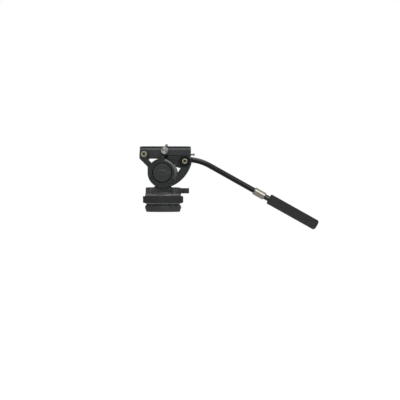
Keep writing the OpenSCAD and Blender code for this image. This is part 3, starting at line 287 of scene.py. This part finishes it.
def roomy(edge, width):
    """True where both faces of an edge are wide enough to round it."""
    length = edge.calc_length()
    way = (edge.verts[1].co - edge.verts[0].co) / length
    middle = (edge.verts[1].co + edge.verts[0].co) / 2
    for loop in edge.link_loops:
        inward = loop.face.normal.cross(loop.link_loop_next.vert.co - loop.vert.co).normalized()
        for other in loop.face.edges:
            line = other.verts[1].co - other.verts[0].co
            step = (other.verts[1].co + other.verts[0].co) / 2 - middle
            beside = abs(step.dot(way)) < BESIDE * (length + line.length)
            alike = abs(line.dot(way)) > ALIKE * line.length
            if beside and alike and MERGE / 2 < step.dot(inward) < ROOM * width:
                return False
    return True


def round_over(bm, width, inner, spared):
    """Rounds the crisp edges, inner corners too where asked, and marks the new faces as edges that rub.

    A corner that stays square is shaded as one.
    """
    rub = bm.loops.layers.float.get("edge") or bm.loops.layers.float.new("edge")
    crisp = [e for e in bm.edges if len(e.link_faces) == 2 and e.calc_face_angle(0) > CRISP
             and (inner or e.is_convex) and roomy(e, width) and not (spared and spared(e))]
    made = bmesh.ops.bevel(bm, geom=crisp, offset=width, offset_type="OFFSET", segments=SEGMENTS, profile=0.5,
                           affect="EDGES", clamp_overlap=False, miter_outer="SHARP", miter_inner="SHARP")
    for face in made["faces"]:
        for loop in face.loops:
            loop[rub] = 1.0
    for face in bm.faces:
        face.smooth = True
    for edge in bm.edges:
        edge.smooth = edge.calc_face_angle(0) < SQUARE


# Pieces whose inner corners stay square: another piece slides right up to them, or they lie close together
square_inside = {"clamp_body", "pan_housing", "handle_eye"}


def eased(node, width_mm, drawn_in=None, spared=None):
    """Copy of a node with rounded edges, which stands for it.

    drawn_in is (point, axis, radius, depth): beyond the point, what lies at that radius is taken in by the
    depth. spared tells of an edge whether it stays as it is.
    """
    bm = merged(node)
    if drawn_in:
        point, axis, radius, depth = drawn_in
        for vert in bm.verts:
            arm = vert.co - point
            along = arm.dot(axis)
            arm -= axis * along
            if along > -MERGE and arm.length > radius - MERGE:
                vert.co -= arm.normalized() * depth
    round_over(bm, width_mm * MM, node not in square_inside, spared)
    piece = piece_from(bm, node + "_eased", node, finish_for(node))
    piece.modifiers.new("even_shading", "WEIGHTED_NORMAL").keep_sharp = True
    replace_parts(piece, node)


edge_mm = {"base_ring": 0.35, "thread_insert": 0.4, "drag_ring": 0.25, "level_cup": 0.3,
           "cap_left": 0.3, "cap_right": 0.3, "dial_bezel": 0.3, "pan_lock_knob": 0.25, "drag_dial": 0.35,
           "side_plate_left": 0.8, "side_plate_right": 0.8, "clamp_body": 0.4, "rear_bracket": 0.8,
           "front_inserts": 0.4, "rear_inserts": 0.4, "bevel_pins": 0.3, "tilt_lock_knob": 0.5,
           "camera_plate": 0.4, "safety_button": 0.25, "handle_eye": 0.45, "handle_lock_knob": 0.5,
           "grip_ferrule": 0.4, "lock_collar": 0.4}
for node, width_mm in edge_mm.items():
    eased(node, width_mm)


# Shapes that repeat or follow a path

def size_tree(name, sizes):
    """Empty geometry tree with named sizes, and the sockets that carry them."""
    tree = bpy.data.node_groups.new(name, "GeometryNodeTree")
    tree.interface.new_socket("Geometry", in_out="OUTPUT", socket_type="NodeSocketGeometry")
    for size, kind in sizes.items():
        tree.interface.new_socket(size, in_out="INPUT", socket_type="NodeSocket" + kind)
    tree.interface.new_socket("Finish", in_out="INPUT", socket_type="NodeSocketMaterial")
    return tree, add(tree, "NodeGroupInput").outputs


def close_tree(tree, given, shape):
    """Makes the instances real and gives them their finish."""
    real = add(tree, "GeometryNodeRealizeInstances", {"Geometry": shape}).outputs[0]
    dressed = add(tree, "GeometryNodeSetMaterial",
                  {"Geometry": real, "Material": given["Finish"]}).outputs[0]
    add(tree, "NodeGroupOutput", {"Geometry": dressed})


def grown(name, tree, sizes, node, place):
    """Plain piece made from a tree and its sizes, which rides with the body of a node."""
    seed = bpy.data.objects.new(name + "_seed", bpy.data.meshes.new(name + "_seed"))
    scene.collection.objects.link(seed)
    modifier = seed.modifiers.new("grow", "NODES")
    modifier.node_group = tree
    sizes = dict(sizes, Finish=finish_for(node))
    for item in tree.interface.items_tree:
        if item.in_out == "INPUT":
            modifier[item.identifier] = sizes[item.name]
    mesh = bpy.data.meshes.new_from_object(seed.evaluated_get(bpy.context.evaluated_depsgraph_get()))
    bpy.data.objects.remove(seed)
    mesh.name = name
    mesh.transform(place)
    piece = bpy.data.objects.new(name, mesh)
    scene.collection.objects.link(piece)
    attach(piece, body_of[node])
    return piece


def facing(point, axis):
    """Place at a point with its Z along an axis."""
    return Matrix.Translation(point) @ UP.rotation_difference(axis).to_matrix().to_4x4()


def span(node):
    """Lowest and highest corner of a CAD node."""
    item = frame["nodes"][node]
    points = [item.matrix_world @ v.co for v in item.data.vertices]
    return [Vector([pick(p[i] for p in points) for i in range(3)]) for pick in (min, max)]


# Wall of the drum above the level: the seat of the level runs up through it in the solids, and a curved plate
# just under the drum's skin closes it here
level_low, level_high = span("level_cup")
level_mid = (level_low + level_high) / 2
SEAT_MARGIN = 1 * MM
level_reach = (level_high.x - level_low.x) / 2 + SEAT_MARGIN
drum_reach = [(v.co - TILT_AXIS).xz.length for v in frame["nodes"]["pan_housing"].data.vertices
              if v.co.z > TILT_AXIS.z]
HOUSING_EDGE_MM = 0.7
SKIN = 0.15 * MM
WALL_ARC = math.radians(120)
WALL_STEPS = 96


def over_level(edge):
    """True for an edge of the level's seat where it runs through the drum."""
    middle = (edge.verts[0].co + edge.verts[1].co) / 2
    return middle.z > level_high.z + SEAT_MARGIN and (middle.xy - level_mid.xy).length < level_reach


eased("pan_housing", HOUSING_EDGE_MM, spared=over_level)
wall = bmesh.new()
corners = [(min(drum_reach) + SKIN, -level_reach), (max(drum_reach) - SKIN, -level_reach),
           (max(drum_reach) - SKIN, level_reach), (min(drum_reach) + SKIN, level_reach)]
start = Matrix.Rotation(WALL_ARC / 2, 4, "Y")
section = wall.faces.new([wall.verts.new(TILT_AXIS + start @ Vector((r, 0, 0)) + ACROSS * (level_mid.y + y))
                          for r, y in corners])
bmesh.ops.spin(wall, geom=[section, *section.edges, *section.verts], cent=TILT_AXIS, axis=-ACROSS,
               angle=WALL_ARC, steps=WALL_STEPS)
bmesh.ops.recalc_face_normals(wall, faces=wall.faces)
piece_from(wall, "drum_wall", "pan_housing", painted_light_housing_coat)

# Screw thread: a diamond ridge wound along the axis
thread_tree, given = size_tree("thread", {"Radius": "Float", "Pitch": "Float", "Length": "Float",
                                          "Depth": "Float"})
turns = add(thread_tree, "ShaderNodeMath", {0: given["Length"], 1: given["Pitch"]},
            operation="DIVIDE").outputs[0]
helix = add(thread_tree, "GeometryNodeCurveSpiral",
            {"Resolution": 32, "Rotations": turns, "Start Radius": given["Radius"],
             "End Radius": given["Radius"], "Height": given["Length"]}).outputs[0]
helix = add(thread_tree, "GeometryNodeSetCurveNormal", {"Curve": helix}, mode="Z_UP").outputs[0]
tooth = add(thread_tree, "GeometryNodeCurvePrimitiveCircle",
            {"Resolution": 4, "Radius": given["Depth"]}).outputs[0]
ridge = add(thread_tree, "GeometryNodeCurveToMesh",
            {"Curve": helix, "Profile Curve": tooth, "Fill Caps": True}).outputs[0]
close_tree(thread_tree, given, ridge)

# Straight knurl: small ribs around a rim
knurl_tree, given = size_tree("knurl", {"Radius": "Float", "Count": "Int", "Rib": "Float", "Length": "Float"})
rim = add(knurl_tree, "GeometryNodeMeshCircle",
          {"Vertices": given["Count"], "Radius": given["Radius"]}).outputs[0]
outward = add(knurl_tree, "GeometryNodeInputPosition").outputs[0]
turn = add(knurl_tree, "FunctionNodeAlignRotationToVector", {"Vector": outward}, axis="X").outputs[0]
rib = add(knurl_tree, "GeometryNodeMeshCylinder",
          {"Vertices": 4, "Radius": given["Rib"], "Depth": given["Length"]}).outputs[0]
ribs = add(knurl_tree, "GeometryNodeInstanceOnPoints",
           {"Points": rim, "Instance": rib, "Rotation": turn}).outputs[0]
close_tree(knurl_tree, given, ribs)

# Row of round ribs across a pad
row_tree, given = size_tree("rib_row", {"Count": "Int", "Pitch": "Float", "Rib": "Float", "Length": "Float"})
step = add(row_tree, "ShaderNodeCombineXYZ", {"X": given["Pitch"]}).outputs[0]
line = add(row_tree, "GeometryNodeMeshLine", {"Count": given["Count"], "Offset": step}).outputs[0]
bar = add(row_tree, "GeometryNodeMeshCylinder",
          {"Vertices": 10, "Radius": given["Rib"], "Depth": given["Length"]}).outputs[0]
bars = add(row_tree, "GeometryNodeInstanceOnPoints",
           {"Points": line, "Instance": bar, "Rotation": (math.radians(90), 0, 0)}).outputs[0]
close_tree(row_tree, given, bars)

# Socket head screws on a ring: a hexagon is cut into the lower face of each head. KEY_SHIFT is where the
# cutter stands, as a share of the head's height
KEY_SHIFT = -0.4
screw_tree, given = size_tree("socket_screws", {"Ring": "Float", "Count": "Int", "Head": "Float",
                                                "Height": "Float", "Key": "Float", "Shank": "Float",
                                                "Reach": "Float"})
head = add(screw_tree, "GeometryNodeMeshCylinder",
           {"Vertices": 40, "Radius": given["Head"], "Depth": given["Height"]}).outputs[0]
key = add(screw_tree, "GeometryNodeMeshCylinder",
          {"Vertices": 6, "Radius": given["Key"], "Depth": given["Height"]}).outputs[0]
drop = add(screw_tree, "ShaderNodeMath", {0: given["Height"], 1: KEY_SHIFT}, operation="MULTIPLY").outputs[0]
drop = add(screw_tree, "ShaderNodeCombineXYZ", {"Z": drop}).outputs[0]
key = add(screw_tree, "GeometryNodeTransform", {"Geometry": key, "Translation": drop}).outputs[0]
head = add(screw_tree, "GeometryNodeMeshBoolean", {0: head, 1: key}, operation="DIFFERENCE").outputs[0]
shank = add(screw_tree, "GeometryNodeMeshCylinder",
            {"Vertices": 24, "Radius": given["Shank"], "Depth": given["Reach"]}).outputs[0]
lift = add(screw_tree, "ShaderNodeMath", {0: given["Reach"], 1: 0.5}, operation="MULTIPLY").outputs[0]
lift = add(screw_tree, "ShaderNodeCombineXYZ", {"Z": lift}).outputs[0]
shank = add(screw_tree, "GeometryNodeTransform", {"Geometry": shank, "Translation": lift}).outputs[0]
whole = add(screw_tree, "GeometryNodeJoinGeometry")
screw_tree.links.new(head, whole.inputs[0])
screw_tree.links.new(shank, whole.inputs[0])
places = add(screw_tree, "GeometryNodeMeshCircle",
             {"Vertices": given["Count"], "Radius": given["Ring"]}).outputs[0]
screws = add(screw_tree, "GeometryNodeInstanceOnPoints",
             {"Points": places, "Instance": whole.outputs[0]}).outputs[0]
close_tree(screw_tree, given, screws)

INCH = 25.4 * MM
QUARTER_PITCH = INCH / 20
TRIPOD_PITCH = INCH / 16
TOOTH = 0.45 * MM
MOUTH = 1.6 * MM

# Camera screw: slimmer shank with the thread standing on it
pin = mounts["camera_screw"]
pin_axis = Vector(pin["axis"])
pin_r = pin["dims"]["r_mm"] * MM
pin_len = pin["dims"]["length_mm"] * MM
pin_top = span("camera_screw")[1].z
pin_foot = Vector((*Vector(pin["pos_m"]).xy, pin_top - pin_len))
PIN_EDGE_MM = 0.2
PIN_CUT = 1.2 * TOOTH
eased("camera_screw", PIN_EDGE_MM, drawn_in=(pin_foot, pin_axis, pin_r, PIN_CUT))
grown("camera_screw_thread", thread_tree,
      {"Radius": pin_r - TOOTH, "Pitch": QUARTER_PITCH, "Length": pin_len - 3 * TOOTH, "Depth": TOOTH},
      "camera_screw", facing(pin_foot + pin_axis * TOOTH, pin_axis))

# Threads inside the brass inserts and inside the steel insert of the base
for name, node in (("accessory_front_left", "front_inserts"), ("accessory_front_right", "front_inserts"),
                   ("accessory_rear_left", "rear_inserts"), ("tripod_thread", "thread_insert")):
    mount = mounts[name]
    out_way = Vector(mount["axis"])
    low, high = span(node)
    mouth = max(low.dot(out_way), high.dot(out_way))
    start = Vector(mount["pos_m"])
    start += out_way * (mouth - start.dot(out_way) - MOUTH)
    pitch = TRIPOD_PITCH if node == "thread_insert" else QUARTER_PITCH
    length = mount["dims"]["length_mm"] * MM - MOUTH - 2 * TOOTH
    grown(name + "_thread", thread_tree,
          {"Radius": mount["dims"]["r_mm"] * MM, "Pitch": pitch, "Length": length, "Depth": TOOTH},
          node, facing(start, -out_way))

# Knurled rim of the plate lock knob
knob_low, knob_high = span("plate_lock_knob")
knob_r = (knob_high.x - knob_low.x) / 2
knob_foot = Vector((LOCK_AXIS.x, knob_high.y, LOCK_AXIS.z))
KNURL = 0.4 * MM
KNURL_COUNT = 54
KNURL_LEN = 7 * MM
KNOB_EDGE_MM = 0.15
eased("plate_lock_knob", KNOB_EDGE_MM, drawn_in=(knob_foot, -ACROSS, knob_r, KNURL))
grown("plate_lock_knurl", knurl_tree,
      {"Radius": knob_r - KNURL, "Count": KNURL_COUNT, "Rib": KNURL, "Length": KNURL_LEN},
      "plate_lock_knob", facing(LOCK_AXIS, -ACROSS))

# Ribbed rubber pads: ribs up to the seat of the camera, with the rubber between them a little lower
PAD_RIB = 0.5 * MM
PAD_PITCH = 1.9 * MM
PAD_DROP = 0.8 * PAD_RIB
pad_low, pad_high = span("plate_pads")
pads = merged("plate_pads")
pad_inner = min(abs(v.co.y) for v in pads.verts)
for vert in pads.verts:
    if vert.co.z > pad_high.z - MERGE:
        vert.co.z -= PAD_DROP
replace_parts(piece_from(pads, "plate_pads_low", "plate_pads", finish_for("plate_pads")), "plate_pads")
for side, name in ((-1, "pad_ribs_left"), (1, "pad_ribs_right")):
    place = Vector((pad_low.x + PAD_RIB, side * (pad_inner + pad_high.y) / 2, pad_high.z - PAD_RIB))
    count = int((pad_high.x - pad_low.x - 2 * PAD_RIB) / PAD_PITCH) + 1
    grown(name, row_tree,
          {"Count": count, "Pitch": PAD_PITCH, "Rib": PAD_RIB, "Length": pad_high.y - pad_inner},
          "plate_pads", Matrix.Translation(place))

# Socket head screws in the underside of the base
HEAD_R = 4.5 * MM
HEAD_H = 2.5 * MM
SHANK_R = 2.5 * MM
KEY_R = 2.3 * MM
SCREW_COUNT = 4
SCREW_TURN = math.radians(45)
screws_low, screws_high = span("base_screws")
ring_r = (screws_high.x - HEAD_R) / math.cos(SCREW_TURN)
head_place = Matrix.Translation((0, 0, screws_low.z + HEAD_H / 2)) @ Matrix.Rotation(SCREW_TURN, 4, "Z")
sockets = grown("base_screw_heads", screw_tree,
                {"Ring": ring_r, "Count": SCREW_COUNT, "Head": HEAD_R, "Height": HEAD_H, "Key": KEY_R,
                 "Shank": SHANK_R, "Reach": screws_high.z - screws_low.z - HEAD_H / 2},
                "base_screws", head_place)
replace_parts(sockets, "base_screws")


TURN_STEPS = 40


def spun(profile, place, name, node, material):
    """Turned piece from a closed outline of (radius, height) points."""
    bm = bmesh.new()
    points = [bm.verts.new((r, 0, z)) for r, z in profile]
    lines = [bm.edges.new(pair) for pair in zip(points, points[1:] + points[:1])]
    bmesh.ops.spin(bm, geom=points + lines, cent=(0, 0, 0), axis=UP, angle=math.tau, steps=TURN_STEPS)
    bmesh.ops.remove_doubles(bm, verts=bm.verts, dist=MERGE / 50)
    bmesh.ops.recalc_face_normals(bm, faces=bm.faces)
    bmesh.ops.translate(bm, verts=bm.verts, vec=place)
    piece_from(bm, name, node, material)


# Spirit level: black ring on the glass and a pale bubble a little off its middle
vial_low, vial_high = span("level_vial")
vial_top = Vector(((vial_low.x + vial_high.x) / 2, (vial_low.y + vial_high.y) / 2, vial_high.z))
# Skin of the bubble: pale yellow-green and glossy
bubble_skin = finish("level_bubble", "#dfe8a4", "#e9f0ba", 0.1, grain_mm=2.0, grain=0.01, cloud_mm=4,
                     coat=0.8)
LINE = 0.25 * MM
MARK_R = 2.1 * MM
spun([(MARK_R, -LINE), (MARK_R + LINE, -LINE), (MARK_R + LINE, LINE / 4), (MARK_R, LINE / 4)], vial_top,
     "level_ring", "level_vial", moulded)
BUBBLE_R = 1.5 * MM
BUBBLE_RISE = 0.13 * BUBBLE_R
BUBBLE_SHIFT = Vector((0.4 * MM, -0.3 * MM, 0))
slopes = [math.radians(15 * i) for i in range(7)]
dome = [(BUBBLE_R * math.cos(a), BUBBLE_RISE * math.sin(a)) for a in slopes]
spun(dome + [(0, -LINE), (BUBBLE_R, -LINE)], vial_top + BUBBLE_SHIFT, "level_bubble", "level_vial",
     bubble_skin)

# Stage

WIDTH_PX = 400
PX_MM = 2.3
CAMERA_BACK = 1.55
CAMERA_X = 84.8 * MM
CAMERA_Z = 27.1 * MM
SENSOR = 36.0
NEAREST = 0.05
FARTHEST = 50
FLOOR_Z = -0.45

camera = bpy.data.objects.new("camera", bpy.data.cameras.new("camera"))
scene.collection.objects.link(camera)
camera.location = (CAMERA_X, -CAMERA_BACK, CAMERA_Z)
camera.rotation_euler = (math.radians(90), 0, 0)
camera.data.sensor_width = SENSOR
camera.data.lens = SENSOR * CAMERA_BACK / (WIDTH_PX * PX_MM * MM)
camera.data.clip_start = NEAREST
camera.data.clip_end = FARTHEST
scene.camera = camera


def lamp(name, place, aim, size, power):
    """Square soft box at a place, turned to a point."""
    made = bpy.data.objects.new(name, bpy.data.lights.new(name, "AREA"))
    scene.collection.objects.link(made)
    made.location = place
    made.rotation_euler = (Vector(aim) - Vector(place)).to_track_quat("-Z", "Y").to_euler()
    made.data.shape = "SQUARE"
    made.data.size = size
    made.data.energy = power


AIM = (0.05, 0, 0.08)
lamp("top_box", (0.05, -0.35, 1.5), AIM, 1.3, 13)
lamp("front_box", (-0.05, -1.8, 1.05), AIM, 1.0, 5.5)
lamp("side_box", (0.95, -1.5, 0.75), AIM, 0.6, 5)
lamp("rear_box", (0.6, 1.4, 1.0), AIM, 1.0, 7)

# Pale paint of the floor: white to the camera and dim in reflections, so that gloss stays deep, and it takes
# the shadow
PAPER_DARK = 0.84
PAPER_PALE = 0.86
FLECK_MM = 40
MIRROR_DIM = 0.2
FLOOR_GLOW = 0.8
FLOOR_HALF = 12
paper = bpy.data.materials.new("white_studio_floor")
paper.use_nodes = True
tree = paper.node_tree
tree.nodes.clear()
spot = add(tree, "ShaderNodeTexCoord").outputs["Object"]
fleck = add(tree, "ShaderNodeTexNoise", {"Vector": spot, "Scale": per_metre(FLECK_MM)}).outputs[0]
shade = add(tree, "ShaderNodeMapRange", {0: fleck, 3: PAPER_DARK, 4: PAPER_PALE}).outputs[0]
mirrored = add(tree, "ShaderNodeLightPath").outputs["Is Glossy Ray"]
dim = add(tree, "ShaderNodeMapRange", {0: mirrored, 3: 1.0, 4: MIRROR_DIM}).outputs[0]
shade = add(tree, "ShaderNodeMath", {0: shade, 1: dim}, operation="MULTIPLY").outputs[0]
matt = add(tree, "ShaderNodeBsdfDiffuse", {"Color": shade}).outputs[0]
bright = add(tree, "ShaderNodeMath", {0: dim, 1: FLOOR_GLOW}, operation="MULTIPLY").outputs[0]
glow = add(tree, "ShaderNodeEmission", {"Color": linear("#ffffff"), "Strength": bright}).outputs[0]
both = add(tree, "ShaderNodeAddShader", {0: matt, 1: glow}).outputs[0]
add(tree, "ShaderNodeOutputMaterial", {"Surface": both})

floor_mesh = bpy.data.meshes.new("floor")
bm = bmesh.new()
bmesh.ops.create_grid(bm, x_segments=1, y_segments=1, size=FLOOR_HALF)
bm.to_mesh(floor_mesh)
bm.free()
floor_mesh.materials.append(paper)
floor = bpy.data.objects.new("floor", floor_mesh)
scene.collection.objects.link(floor)
floor.location.z = FLOOR_Z

# Sky: white to the camera, a faint even light for everything else
SKY_LIGHT = 0.3
world = bpy.data.worlds.new("studio")
scene.world = world
world.use_nodes = True
tree = world.node_tree
tree.nodes.clear()
path = add(tree, "ShaderNodeLightPath")
seen = add(tree, "ShaderNodeMath", {0: path.outputs["Is Camera Ray"], 1: path.outputs["Is Transmission Ray"]},
           operation="MAXIMUM").outputs[0]
strength = add(tree, "ShaderNodeMapRange", {0: seen, 3: SKY_LIGHT, 4: 1.0}).outputs[0]
sky = add(tree, "ShaderNodeBackground", {"Color": linear("#ffffff"), "Strength": strength}).outputs[0]
add(tree, "ShaderNodeOutputWorld", {"Surface": sky})

scene.view_settings.view_transform = "Standard"
